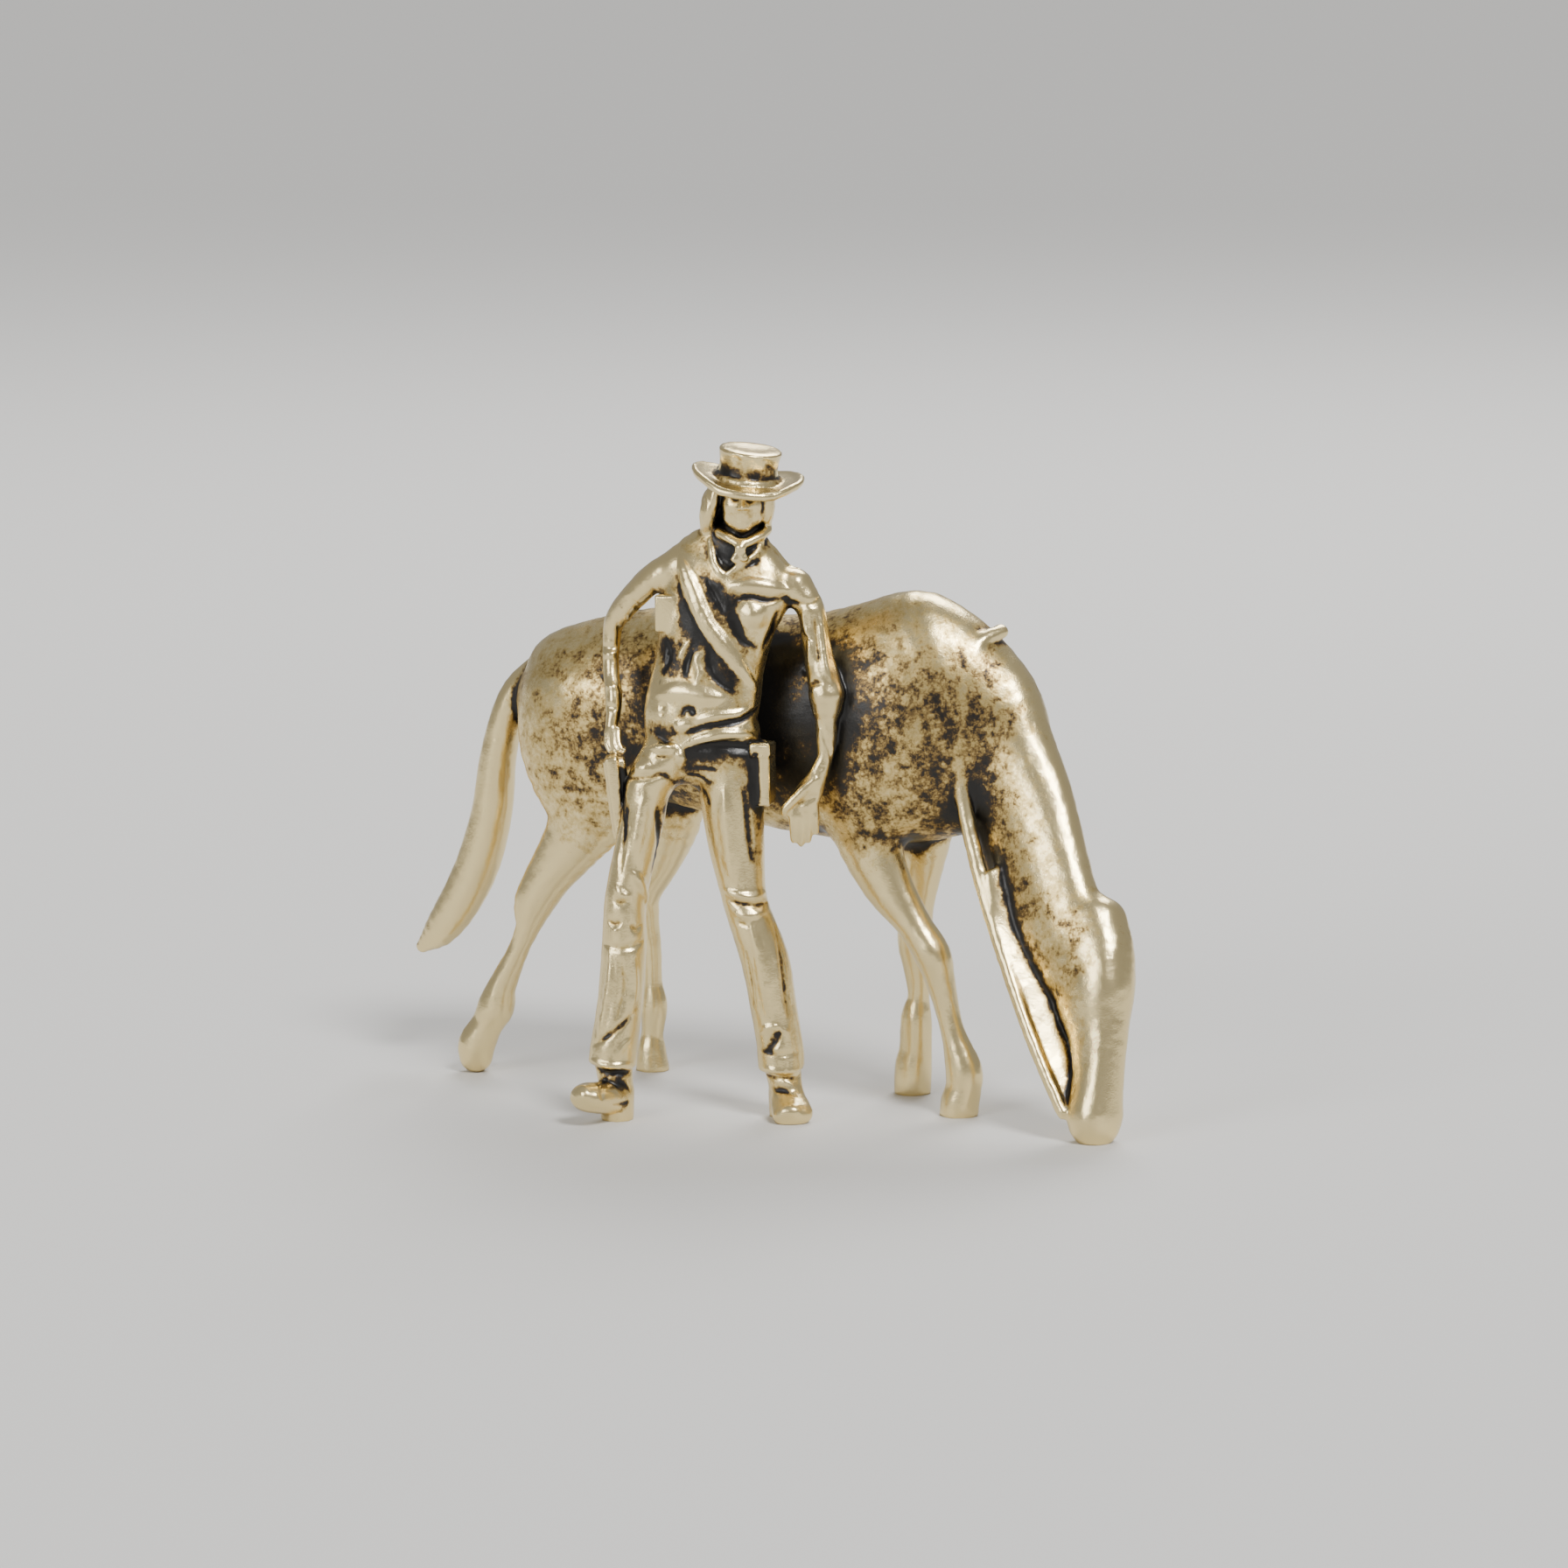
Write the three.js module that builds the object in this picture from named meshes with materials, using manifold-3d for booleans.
// Horseman figurine: one small lost-wax casting in brass of a standing rider
// who leans back on the flank of his grazing horse. Millimetres, +Z up, +X
// towards the horse's head, +Y away from the rider's front. The figure stands
// on z = 0 on three hooves, a hind toe, the horse's muzzle and two boots.

import * as THREE from 'three';
import { mergeVertices } from 'three/addons/utils/BufferGeometryUtils.js';
import Module from 'manifold-3d';

const wasm = await Module();
wasm.setup();

// Driving dimensions and places
const BODY_CENTRE = [2.17, -0.59];     // middle of the casting's box before it is centred
const HORSE_TURN = -25.6;             // degrees, seen from above
const HORSE_MIDDLE = 3.25;            // the horse's own plane of symmetry, across
const NEAR_LEG = 1.0;                 // the legs' planes, across
const FAR_LEG = 5.5;
const SADDLE_THICK = 0.25;
const SADDLE_EDGE = 23.6;             // how low the saddle cloth hangs
const SADDLE_REACH = 60;              // a block wide enough to take the whole saddle in
const POLL = new THREE.Vector3(20.75, -9.6, 11.6);
const HEAD_DOWN = new THREE.Vector3(-0.05, -0.27, -0.96);
const HEAD_ACROSS = new THREE.Vector3(0.78, 0.58, -0.24);
const MANE_LOCKS = 8;
const CHEST_ACROSS = [0.96, -0.24, -0.12];
const HIPS_ACROSS = [0.97, -0.24, 0];
const HAT_CENTRE = [1.25, -3.35, 35.75];
const HAT_ROLL = 7;                   // degrees, towards his left
const HAT_NOD = 7;                    // degrees, forward
const BRIM_RADIUS = 3.15;
const BRIM_THICK = 0.36;
const BRIM_CURL = 0.45;
const CROWN_RADIUS = 1.85;
const CROWN_HEIGHT = 1.75;
const GROUND_DEPTH = 10;              // everything below the ground plane is cut away
const GROUND_WIDTH = 80;

const BRASS = new THREE.MeshStandardMaterial({ color: 0xb59a4c, roughness: 0.38, metalness: 1 });

// Solids and smoothing

function asSolid(geometry) {
  const bare = geometry.clone();
  for (const name of Object.keys(bare.attributes)) {
    if (name !== 'position') bare.deleteAttribute(name);
  }
  const merged = mergeVertices(bare, 1e-5);
  const mesh = new wasm.Mesh({
    numProp: 3,
    vertProperties: new Float32Array(merged.attributes.position.array),
    triVerts: new Uint32Array(merged.index.array),
  });
  return new wasm.Manifold(mesh);
}

function joined(solids) {
  return solids.reduce((whole, solid) => whole.add(solid));
}

function smoothRows(rows, steps) {
  const mirrored = (end, next) => end.map((value, k) => 2 * value - next[k]);
  const last = rows.length - 1;
  const padded = [mirrored(rows[0], rows[1]), ...rows, mirrored(rows[last], rows[last - 1])];
  const result = [];
  for (let i = 0; i < last; i += 1) {
    const [p0, p1, p2, p3] = padded.slice(i, i + 4);
    for (let j = 0; j < steps; j += 1) {
      const t = j / steps;
      result.push(p1.map((value, k) => 0.5 * (2 * value + (p2[k] - p0[k]) * t
        + (2 * p0[k] - 5 * value + 4 * p2[k] - p3[k]) * t ** 2
        + (3 * value - p0[k] - 3 * p2[k] + p3[k]) * t ** 3)));
    }
  }
  result.push(rows[last]);
  return result;
}

// A tube is a row of oval rings. Each row gives a ring's centre x, y, z, its half
// width along the side direction, and its half depth across it.
function tube(rows, side, { endSide = side, steps = 2 } = {}) {
  const smooth = smoothRows(rows, steps);
  const last = smooth.length - 1;
  const centres = smooth.map((row) => new THREE.Vector3(row[0], row[1], row[2]));
  return smooth.map((row, i) => {
    const along = centres[Math.min(i + 1, last)].clone().sub(centres[Math.max(i - 1, 0)]).normalize();
    const across = new THREE.Vector3(...side).lerp(new THREE.Vector3(...endSide), i / last);
    across.addScaledVector(along, -across.dot(along)).normalize();
    const up = new THREE.Vector3().crossVectors(along, across);
    return { centre: centres[i], along, across, up, width: row[3], depth: row[4] };
  });
}

function ringPoint(ring, angle, size = 1, shift = 0) {
  return ring.centre.clone()
    .addScaledVector(ring.along, shift)
    .addScaledVector(ring.across, size * ring.width * Math.cos(angle))
    .addScaledVector(ring.up, size * ring.depth * Math.sin(angle));
}

// A point on a tube's skin: part of the way along it, and an angle round it in degrees
function onSkin(rings, part, degrees) {
  const ring = rings[Math.round(part * (rings.length - 1))];
  return ringPoint(ring, THREE.MathUtils.degToRad(degrees)).toArray();
}

// The solid of a tube has a domed end at each side.
function solidTube(rings, sides = 8) {
  const [first, last] = [rings[0], rings[rings.length - 1]];
  const domed = (ring, outward) => {
    const reach = Math.min(ring.width, ring.depth) * outward;
    return { ring, size: Math.SQRT1_2, shift: reach * Math.SQRT1_2, reach };
  };
  const [start, end] = [domed(first, -1), domed(last, 1)];
  const loops = [start, ...rings.map((ring) => ({ ring, size: 1, shift: 0 })), end];
  const points = loops.flatMap(({ ring, size, shift }) => Array.from({ length: sides },
    (_, j) => ringPoint(ring, (2 * Math.PI * j) / sides, size, shift)));
  points.push(ringPoint(first, 0, 0, start.reach), ringPoint(last, 0, 0, end.reach));
  const [startTip, endTip, top] = [points.length - 2, points.length - 1, (loops.length - 1) * sides];
  const faces = [];
  for (let j = 0; j < sides; j += 1) {
    const next = (j + 1) % sides;
    for (let i = 0; i < loops.length - 1; i += 1) {
      const [a, b] = [i * sides + j, i * sides + next];
      faces.push(a, b, b + sides, a, b + sides, a + sides);
    }
    faces.push(startTip, next, j, endTip, top + j, top + next);
  }
  return asSolid(new THREE.BufferGeometry().setFromPoints(points).setIndex(faces));
}

function limb(rows, side, { sides, ...shape } = {}) {
  return solidTube(tube(rows, side, shape), sides);
}

function turned(axis, degrees) {
  return new THREE.Matrix4().makeRotationAxis(axis, THREE.MathUtils.degToRad(degrees));
}

const X_AXIS = new THREE.Vector3(1, 0, 0);
const Y_AXIS = new THREE.Vector3(0, 1, 0);
const Z_AXIS = new THREE.Vector3(0, 0, 1);

function slab(centre, size, turn = new THREE.Matrix4()) {
  return asSolid(new THREE.BoxGeometry(...size).applyMatrix4(turn).translate(...centre));
}

// The horse's trunk, legs and tail are given along its own axes: forward, across, up.

const HORSE_FACING = turned(Z_AXIS, HORSE_TURN);
const ACROSS = Y_AXIS.clone().applyMatrix4(HORSE_FACING).toArray();
const FORWARD = X_AXIS.clone().applyMatrix4(HORSE_FACING).toArray();

function onHorse(forward, across, up) {
  return new THREE.Vector3(forward, across, up).applyMatrix4(HORSE_FACING).toArray();
}

function atPlane(plane, rows) {
  return rows.map(([forward, up, width, depth]) => [...onHorse(forward, plane, up), width, depth]);
}

// Forward, up, half width, half height of the barrel
const BARREL = [
  [-12.7, 21.3, 1.9, 2.4],
  [-11.6, 21.7, 3.1, 3.6],
  [-9.0, 22.0, 4.0, 4.9],
  [-5.0, 22.1, 4.2, 5.6],
  [-1.0, 21.7, 4.3, 5.9],
  [4.0, 21.4, 4.4, 6.3],
  [8.5, 21.8, 4.2, 6.9],
  [11.5, 22.5, 3.6, 7.0],
  [13.2, 22.9, 2.6, 5.9],
];

function horseTrunk() {
  return limb(atPlane(HORSE_MIDDLE, BARREL), ACROSS, { sides: 14 });
}

// Each leg: forward, up, half width across, half depth fore and aft
const NEAR_FORELEG = [
  [9.4, 22.0, 1.5, 3.2],
  [8.6, 18.6, 1.7, 2.7],
  [8.1, 15.9, 1.4, 1.95],
  [9.4, 13.0, 1.15, 1.5],
  [11.1, 10.7, 1.0, 1.0],
  [12.2, 9.1, 1.05, 1.05],
  [12.7, 7.6, 0.8, 0.84],
  [13.4, 4.9, 0.66, 0.67],
  [14.1, 2.7, 0.95, 1.05],
  [14.1, 1.6, 0.95, 1.02],
  [13.85, 0.6, 1.1, 1.1],
  [13.8, -0.8, 1.1, 1.1],
];
const FAR_FORELEG = [
  [9.2, 20.0, 1.5, 2.6],
  [9.8, 16.0, 1.4, 1.7],
  [9.6, 13.4, 1.1, 1.25],
  [9.2, 11.0, 0.95, 1.03],
  [9.1, 8.8, 0.95, 1.02],
  [9.25, 7.0, 0.72, 0.75],
  [9.3, 5.6, 0.62, 0.62],
  [9.15, 4.4, 0.86, 0.9],
  [9.1, 2.6, 0.9, 0.95],
  [8.95, 1.4, 1.05, 1.08],
  [8.85, -0.8, 1.05, 1.05],
];
const NEAR_HINDLEG = [
  [-9.0, 22.4, 2.2, 3.9],
  [-9.4, 19.0, 2.3, 4.1],
  [-9.4, 16.3, 1.8, 2.9],
  [-10.2, 14.5, 1.5, 2.0],
  [-11.9, 12.2, 1.2, 1.45],
  [-13.1, 10.3, 1.05, 1.2],
  [-13.5, 8.9, 0.75, 0.75],
  [-14.2, 7.4, 0.62, 0.62],
  [-15.3, 5.2, 0.85, 0.85],
  [-15.7, 4.0, 1.0, 1.1],
  [-16.3, 2.9, 0.9, 0.95],
  [-17.0, 1.7, 1.05, 1.1],
  [-17.1, 0.9, 0.95, 1.0],
];
const FAR_HINDLEG = [
  [-8.4, 22.0, 2.0, 3.8],
  [-7.4, 18.4, 2.2, 3.4],
  [-6.6, 15.4, 1.7, 2.2],
  [-7.0, 13.0, 1.2, 1.4],
  [-8.2, 10.6, 0.95, 1.05],
  [-8.05, 9.0, 0.7, 0.72],
  [-7.75, 7.2, 0.56, 0.56],
  [-7.7, 5.2, 0.56, 0.56],
  [-7.65, 3.8, 0.74, 0.8],
  [-7.8, 2.2, 0.62, 0.66],
  [-7.85, 1.1, 0.85, 0.85],
  [-7.75, -0.8, 1.05, 1.1],
];

function horseLegs() {
  const leg = (plane, rows) => limb(atPlane(plane, rows), ACROSS, { sides: 8 });
  return joined([
    leg(NEAR_LEG, NEAR_FORELEG), leg(NEAR_LEG, NEAR_HINDLEG),
    leg(FAR_LEG, FAR_FORELEG), leg(FAR_LEG, FAR_HINDLEG),
  ]);
}

function horseTail() {
  return limb(atPlane(HORSE_MIDDLE, [
    [-12.0, 24.6, 0.6, 0.6],
    [-13.9, 23.7, 0.75, 0.7],
    [-15.5, 21.8, 1.0, 0.88],
    [-16.5, 18.4, 1.15, 1.05],
    [-17.0, 15.0, 1.2, 1.2],
    [-18.2, 11.4, 1.2, 1.3],
    [-20.2, 8.2, 0.95, 1.1],
    [-21.8, 6.7, 0.35, 0.4],
  ]), ACROSS, { sides: 8 });
}

function horseSaddle() {
  const cover = BARREL.slice(3, 7).map(([forward, up, width, depth]) => [
    forward, up, width + SADDLE_THICK, depth + SADDLE_THICK,
  ]);
  const cloth = limb(atPlane(HORSE_MIDDLE, cover), ACROSS, { sides: 14 });
  const above = slab([0, 0, SADDLE_EDGE + SADDLE_REACH / 2], Array(3).fill(SADDLE_REACH));
  // An arch over the horse's back: how far forward, how high, how wide
  const arch = (forward, top, spread) => limb([
    [...onHorse(forward + 0.5, HORSE_MIDDLE - spread, 27.2), 0.6, 0.5],
    [...onHorse(forward, HORSE_MIDDLE - 0.5 * spread, top), 0.55, 0.45],
    [...onHorse(forward, HORSE_MIDDLE + 0.5 * spread, top), 0.55, 0.45],
    [...onHorse(forward + 0.5, HORSE_MIDDLE + spread, 27.2), 0.6, 0.5],
  ], FORWARD, { sides: 6 });
  const horn = limb([
    [...onHorse(5.4, HORSE_MIDDLE, 28.0), 0.5, 0.5],
    [...onHorse(5.2, HORSE_MIDDLE, 29.2), 0.55, 0.55],
  ], ACROSS, { sides: 8 });
  return joined([cloth.intersect(above), arch(-3.4, 28.4, 2.2), arch(6.9, 28.7, 1.8), horn]);
}

// The neck swings round to the front, so it, the head and the bridle are modelled
// in the figurine's own axes.

const NECK = [
  [10.6, -1.2, 24.0, 3.0, 4.3],
  [12.7, -1.8, 23.9, 2.9, 3.9],
  [14.4, -2.75, 22.5, 2.6, 3.65],
  [15.4, -3.75, 20.2, 2.3, 3.4],
  [16.45, -5.0, 17.4, 2.0, 3.45],
  [17.3, -6.5, 14.3, 1.9, 3.4],
  [18.2, -8.0, 11.6, 1.8, 3.2],
  [19.2, -9.3, 9.6, 1.6, 2.6],
];
const NECK_SIDE = [0.43, 0.9, 0];
const NECK_TOP_SIDE = [0.76, 0.6, -0.22];

function neckRings(steps) {
  return tube(NECK, NECK_SIDE, { endSide: NECK_TOP_SIDE, steps });
}

const headAxes = (() => {
  const down = HEAD_DOWN.clone().normalize();
  const across = HEAD_ACROSS.clone().addScaledVector(down, -HEAD_ACROSS.dot(down)).normalize();
  const front = new THREE.Vector3().crossVectors(down, across);
  return { down, across, front };
})();

function onHead(across, front, down) {
  return POLL.clone()
    .addScaledVector(headAxes.across, across)
    .addScaledVector(headAxes.front, front)
    .addScaledVector(headAxes.down, down)
    .toArray();
}

function horseHead() {
  const across = headAxes.across.toArray();
  // Down the head, forward of its axis, half width, half depth
  const skull = limb([
    [-0.2, -0.2, 1.4, 1.5],
    [1.6, -0.3, 1.75, 2.2],
    [3.6, -0.5, 1.85, 2.5],
    [5.6, -0.1, 1.5, 1.9],
    [7.8, 0.1, 1.3, 1.5],
    [9.6, 0.0, 1.4, 1.45],
    [10.7, -0.1, 1.5, 1.45],
    [11.4, -0.1, 1.1, 1.1],
  ].map(([down, front, width, depth]) => [...onHead(0, front, down), width, depth]), across);
  const brows = [-1, 1].map((hand) => limb([
    [...onHead(hand * 1.4, 1.1, 2.4), 0.4, 0.4],
    [...onHead(hand * 1.85, 0.8, 3.3), 0.5, 0.45],
    [...onHead(hand * 1.6, 0.7, 4.5), 0.4, 0.35],
  ], across, { sides: 6, steps: 1 }));
  const ears = [-1, 1].map((hand) => limb([
    [...onHead(hand * 1.2, 0.9, 1.7), 0.5, 0.4],
    [...onHead(hand * 1.5, 0.5, 0.9), 0.55, 0.45],
    [...onHead(hand * 1.7, 0.0, 0.2), 0.2, 0.2],
  ], across, { sides: 6 }));
  return joined([skull, ...brows, ...ears]);
}

function horseBridle() {
  const nearRein = limb([
    [15.4, -3.0, 27.2, 0.45, 0.4],
    [14.1, -4.0, 26.6, 0.45, 0.4],
    [13.4, -4.9, 24.3, 0.45, 0.4],
    [13.0, -5.3, 21.2, 0.45, 0.4],
    [13.2, -5.5, 18.0, 0.45, 0.4],
    [14.1, -6.8, 13.8, 0.45, 0.4],
    [15.2, -8.5, 10.0, 0.4, 0.4],
    [16.8, -10.8, 5.3, 0.35, 0.4],
    [18.4, -12.4, 1.6, 0.35, 0.4],
  ], X_AXIS.toArray(), { sides: 6 });
  const skin = neckRings(8);
  const farPath = [[0.22, 80], [0.25, 40], [0.35, 5], [0.55, -20], [0.8, -35], [1, -45]];
  const farRein = limb([
    ...farPath.map(([part, degrees]) => [...onSkin(skin, part, degrees), 0.4, 0.4]),
    [...onHead(1.4, -1.6, 6.0), 0.35, 0.35],
    [...onHead(1.2, -0.7, 10.2), 0.35, 0.35],
  ], X_AXIS.toArray(), { sides: 6, steps: 1 });
  // The casting fills the space between the rein and the jaw with a thin web
  const web = limb([
    [15.0, -6.9, 14.2, 0.8, 0.3],
    [15.9, -7.6, 11.8, 1.3, 0.3],
    [16.7, -8.4, 9.8, 1.5, 0.3],
    [17.4, -9.3, 7.6, 1.7, 0.3],
    [17.9, -10.3, 5.2, 1.25, 0.3],
    [18.5, -11.4, 2.9, 0.8, 0.3],
    [18.8, -12.0, 1.6, 0.45, 0.3],
  ], [0.96, 0.28, 0], { sides: 8, steps: 1 });
  return joined([nearRein, farRein, web]);
}

function horseMane() {
  const skin = neckRings(8);
  const crest = limb([0.2, 0.35, 0.5, 0.65, 0.8, 0.95]
    .map((part) => [...onSkin(skin, part, 90), 0.4, 0.5]), NECK_TOP_SIDE, { sides: 6 });
  const locks = Array.from({ length: MANE_LOCKS }, (_, i) => {
    const part = 0.57 + (0.28 * i) / (MANE_LOCKS - 1);
    return limb([
      [...onSkin(skin, part, 100), 0.42, 0.4],
      [...onSkin(skin, part + 0.06, 130), 0.42, 0.4],
      [...onSkin(skin, part + 0.13, 160), 0.4, 0.35],
    ], [0, 0, 1], { sides: 6, steps: 1 });
  });
  return joined([crest, ...locks]);
}

// The rider is modelled in the figurine's own axes.

function riderBody() {
  return limb([
    [-1.4, -3.6, 19.9, 2.9, 1.3],
    [-1.25, -3.5, 21.2, 3.3, 1.75],
    [-1.5, -3.45, 22.4, 3.25, 1.95],
    [-1.25, -3.35, 23.8, 3.2, 1.9],
    [-0.85, -3.15, 26.0, 3.15, 1.8],
    [-0.4, -3.0, 28.4, 3.4, 1.85],
    [0.1, -2.85, 30.0, 3.75, 1.8],
    [0.45, -2.7, 31.2, 3.3, 1.5],
    [0.9, -2.8, 32.5, 1.5, 1.2],
  ], CHEST_ACROSS, { sides: 12 });
}

function riderHead() {
  const skull = limb([
    [0.95, -2.9, 31.8, 1.15, 1.1],
    [0.95, -3.1, 33.1, 0.9, 1.0],
    [0.97, -3.45, 33.6, 1.1, 1.3],
    [1.0, -3.4, 34.6, 1.32, 1.55],
    [1.05, -3.3, 35.8, 1.35, 1.5],
  ], X_AXIS.toArray());
  const nose = limb([
    [1.0, -4.85, 34.9, 0.2, 0.2],
    [1.0, -5.05, 34.25, 0.26, 0.26],
  ], X_AXIS.toArray(), { sides: 6, steps: 1 });
  const chin = limb([
    [0.97, -4.2, 33.2, 0.5, 0.42],
    [0.97, -4.4, 33.4, 0.5, 0.42],
  ], X_AXIS.toArray(), { sides: 8, steps: 1 });
  const rightHair = limb([
    [-0.5, -3.1, 35.5, 0.4, 0.9],
    [-0.95, -3.0, 33.9, 0.42, 0.9],
    [-1.05, -2.8, 32.9, 0.34, 0.6],
  ], X_AXIS.toArray(), { sides: 8 });
  const leftHair = limb([
    [2.4, -3.1, 35.4, 0.34, 0.9],
    [2.35, -3.0, 34.0, 0.32, 0.9],
    [2.2, -2.8, 33.2, 0.26, 0.6],
  ], X_AXIS.toArray(), { sides: 8 });
  return joined([skull, nose, chin, rightHair, leftHair]);
}

function riderHat() {
  const tilt = turned(Y_AXIS, HAT_ROLL).multiply(turned(X_AXIS, HAT_NOD));
  const half = BRIM_THICK / 2;
  const outline = [
    [0, -half],
    [BRIM_RADIUS - half, -half],
    [BRIM_RADIUS, 0],
    [BRIM_RADIUS - half, half],
    [CROWN_RADIUS, half],
    [CROWN_RADIUS - 0.15, CROWN_HEIGHT * 0.6],
    [CROWN_RADIUS - 0.05, CROWN_HEIGHT],
    [CROWN_RADIUS - 0.4, CROWN_HEIGHT + 0.2],
    [0, CROWN_HEIGHT + 0.05],
  ].map(([radius, up]) => new THREE.Vector2(radius, up));
  const geometry = new THREE.LatheGeometry(outline, 20).applyMatrix4(turned(X_AXIS, 90));
  const place = geometry.attributes.position;
  for (let i = 0; i < place.count; i += 1) {
    const outward = Math.max(0, Math.abs(place.getX(i)) / BRIM_RADIUS - 0.55) / 0.45;
    place.setZ(i, place.getZ(i) + BRIM_CURL * outward);
  }
  return asSolid(geometry.applyMatrix4(tilt).translate(...HAT_CENTRE));
}

function riderArms() {
  const right = limb([
    [-2.6, -2.4, 31.0, 1.0, 1.05],
    [-4.1, -1.9, 30.2, 0.8, 0.95],
    [-5.2, -1.1, 29.1, 0.7, 0.85],
    [-6.2, 0.0, 27.8, 0.6, 0.8],
    [-6.5, 0.3, 26.6, 0.52, 0.7],
    [-6.55, -0.3, 24.8, 0.46, 0.55],
    [-6.4, -0.9, 23.5, 0.5, 0.7],
    [-6.45, -1.3, 22.4, 0.42, 0.62],
    [-6.6, -1.6, 21.4, 0.33, 0.45],
  ], X_AXIS.toArray());
  const left = limb([
    [3.9, -3.4, 29.9, 1.0, 1.1],
    [4.75, -3.75, 28.6, 0.78, 0.9],
    [5.05, -4.0, 26.6, 0.82, 0.9],
    [5.5, -4.4, 24.0, 0.95, 1.0],
    [5.6, -4.5, 22.4, 0.75, 0.8],
    [5.45, -4.7, 20.6, 0.56, 0.6],
    [4.9, -4.9, 19.1, 0.75, 0.6],
    [4.25, -5.0, 17.8, 1.0, 0.5],
    [4.1, -5.05, 16.5, 0.85, 0.4],
  ], X_AXIS.toArray());
  return joined([right, left]);
}

function riderLegs() {
  const right = limb([
    [-3.2, -3.6, 20.6, 1.5, 1.6],
    [-4.4, -3.9, 18.8, 1.3, 1.5],
    [-4.85, -4.05, 16.6, 1.2, 1.45],
    [-5.75, -4.5, 12.6, 1.16, 1.35],
    [-5.9, -4.75, 9.6, 1.26, 1.3],
    [-6.2, -5.0, 6.2, 1.28, 1.3],
    [-6.5, -5.1, 4.2, 1.33, 1.4],
    [-6.62, -5.1, 3.5, 1.34, 1.4],
  ], HIPS_ACROSS);
  const left = limb([
    [0.2, -3.7, 20.3, 1.9, 1.7],
    [0.25, -4.0, 18.0, 1.8, 1.6],
    [0.5, -4.2, 15.2, 1.56, 1.5],
    [0.95, -4.55, 12.2, 1.24, 1.35],
    [2.0, -4.85, 9.0, 1.36, 1.4],
    [2.45, -5.0, 6.4, 1.3, 1.35],
    [2.8, -5.1, 4.2, 1.3, 1.35],
    [2.88, -5.1, 3.5, 1.3, 1.35],
  ], HIPS_ACROSS);
  const rightBoot = limb([
    [-6.6, -5.2, 3.2, 1.05, 1.05],
    [-6.4, -5.3, 1.9, 1.0, 1.0],
    [-6.7, -5.8, 1.1, 1.0, 0.95],
    [-7.4, -6.6, 1.35, 1.1, 1.05],
    [-7.95, -7.1, 1.65, 1.1, 0.95],
  ], [0.75, -0.66, 0]);
  const rightHeel = limb([
    [-6.35, -5.4, 1.2, 1.0, 0.95],
    [-6.4, -5.6, -0.8, 0.95, 0.9],
  ], X_AXIS.toArray(), { steps: 1 });
  const leftBoot = limb([
    [2.95, -5.2, 2.8, 1.05, 1.05],
    [3.1, -5.2, 1.8, 1.0, 1.0],
    [3.3, -5.8, 0.8, 1.1, 1.0],
    [3.45, -6.7, 0.55, 1.2, 0.95],
  ], X_AXIS.toArray());
  const leftHeel = limb([
    [3.05, -4.9, 1.4, 0.95, 0.9],
    [3.1, -4.8, -0.8, 0.95, 0.85],
  ], X_AXIS.toArray(), { steps: 1 });
  return joined([right, left, rightBoot, rightHeel, leftBoot, leftHeel]);
}

function riderGear() {
  const bandolier = limb([
    [-2.7, -3.9, 31.4, 0.6, 0.35],
    [-1.6, -4.9, 29.6, 0.6, 0.35],
    [-0.2, -5.2, 27.2, 0.6, 0.35],
    [1.2, -5.0, 24.8, 0.55, 0.35],
    [2.0, -4.6, 23.4, 0.5, 0.35],
  ], [0.8, 0, 0.6], { sides: 6 });
  const pocket = slab([-3.15, -4.2, 28.5], [1.25, 0.8, 2.1], turned(Z_AXIS, -14));
  const belt = limb([
    [-4.4, -3.6, 21.0, 0.45, 0.35],
    [-3.0, -5.0, 20.9, 0.45, 0.35],
    [-1.0, -5.3, 21.1, 0.45, 0.35],
    [1.1, -5.0, 21.4, 0.45, 0.35],
    [2.0, -4.3, 21.4, 0.45, 0.35],
  ], Z_AXIS.toArray(), { sides: 6 });
  const pouch = slab([2.0, -4.6, 19.6], [0.95, 1.6, 3.6], turned(Z_AXIS, -14));
  const scabbard = slab([-6.1, -3.3, 18.0], [1.3, 1.5, 4.4], turned(Y_AXIS, 7));
  return joined([bandolier, pocket, belt, pouch, scabbard]);
}

// Assembly

function casting() {
  const whole = joined([
    horseTrunk(), horseLegs(), horseTail(), horseSaddle(),
    solidTube(neckRings(2), 10), horseHead(), horseBridle(), horseMane(),
    riderBody(), riderHead(), riderHat(), riderArms(), riderLegs(), riderGear(),
  ]);
  const ground = slab([0, 0, -GROUND_DEPTH / 2], [GROUND_WIDTH, GROUND_WIDTH, GROUND_DEPTH]);
  return whole.subtract(ground);
}

function asGeometry(solid) {
  const { vertProperties, triVerts } = solid.getMesh();
  const geometry = new THREE.BufferGeometry();
  geometry.setAttribute('position', new THREE.BufferAttribute(vertProperties, 3));
  geometry.setIndex(new THREE.BufferAttribute(triVerts, 1));
  geometry.computeVertexNormals();
  return geometry;
}

const figurine = new THREE.Mesh(asGeometry(casting()), BRASS);
figurine.name = 'horseman_casting';
figurine.position.set(-BODY_CENTRE[0], -BODY_CENTRE[1], 0);

const group = new THREE.Group();
group.add(figurine);
export default group;
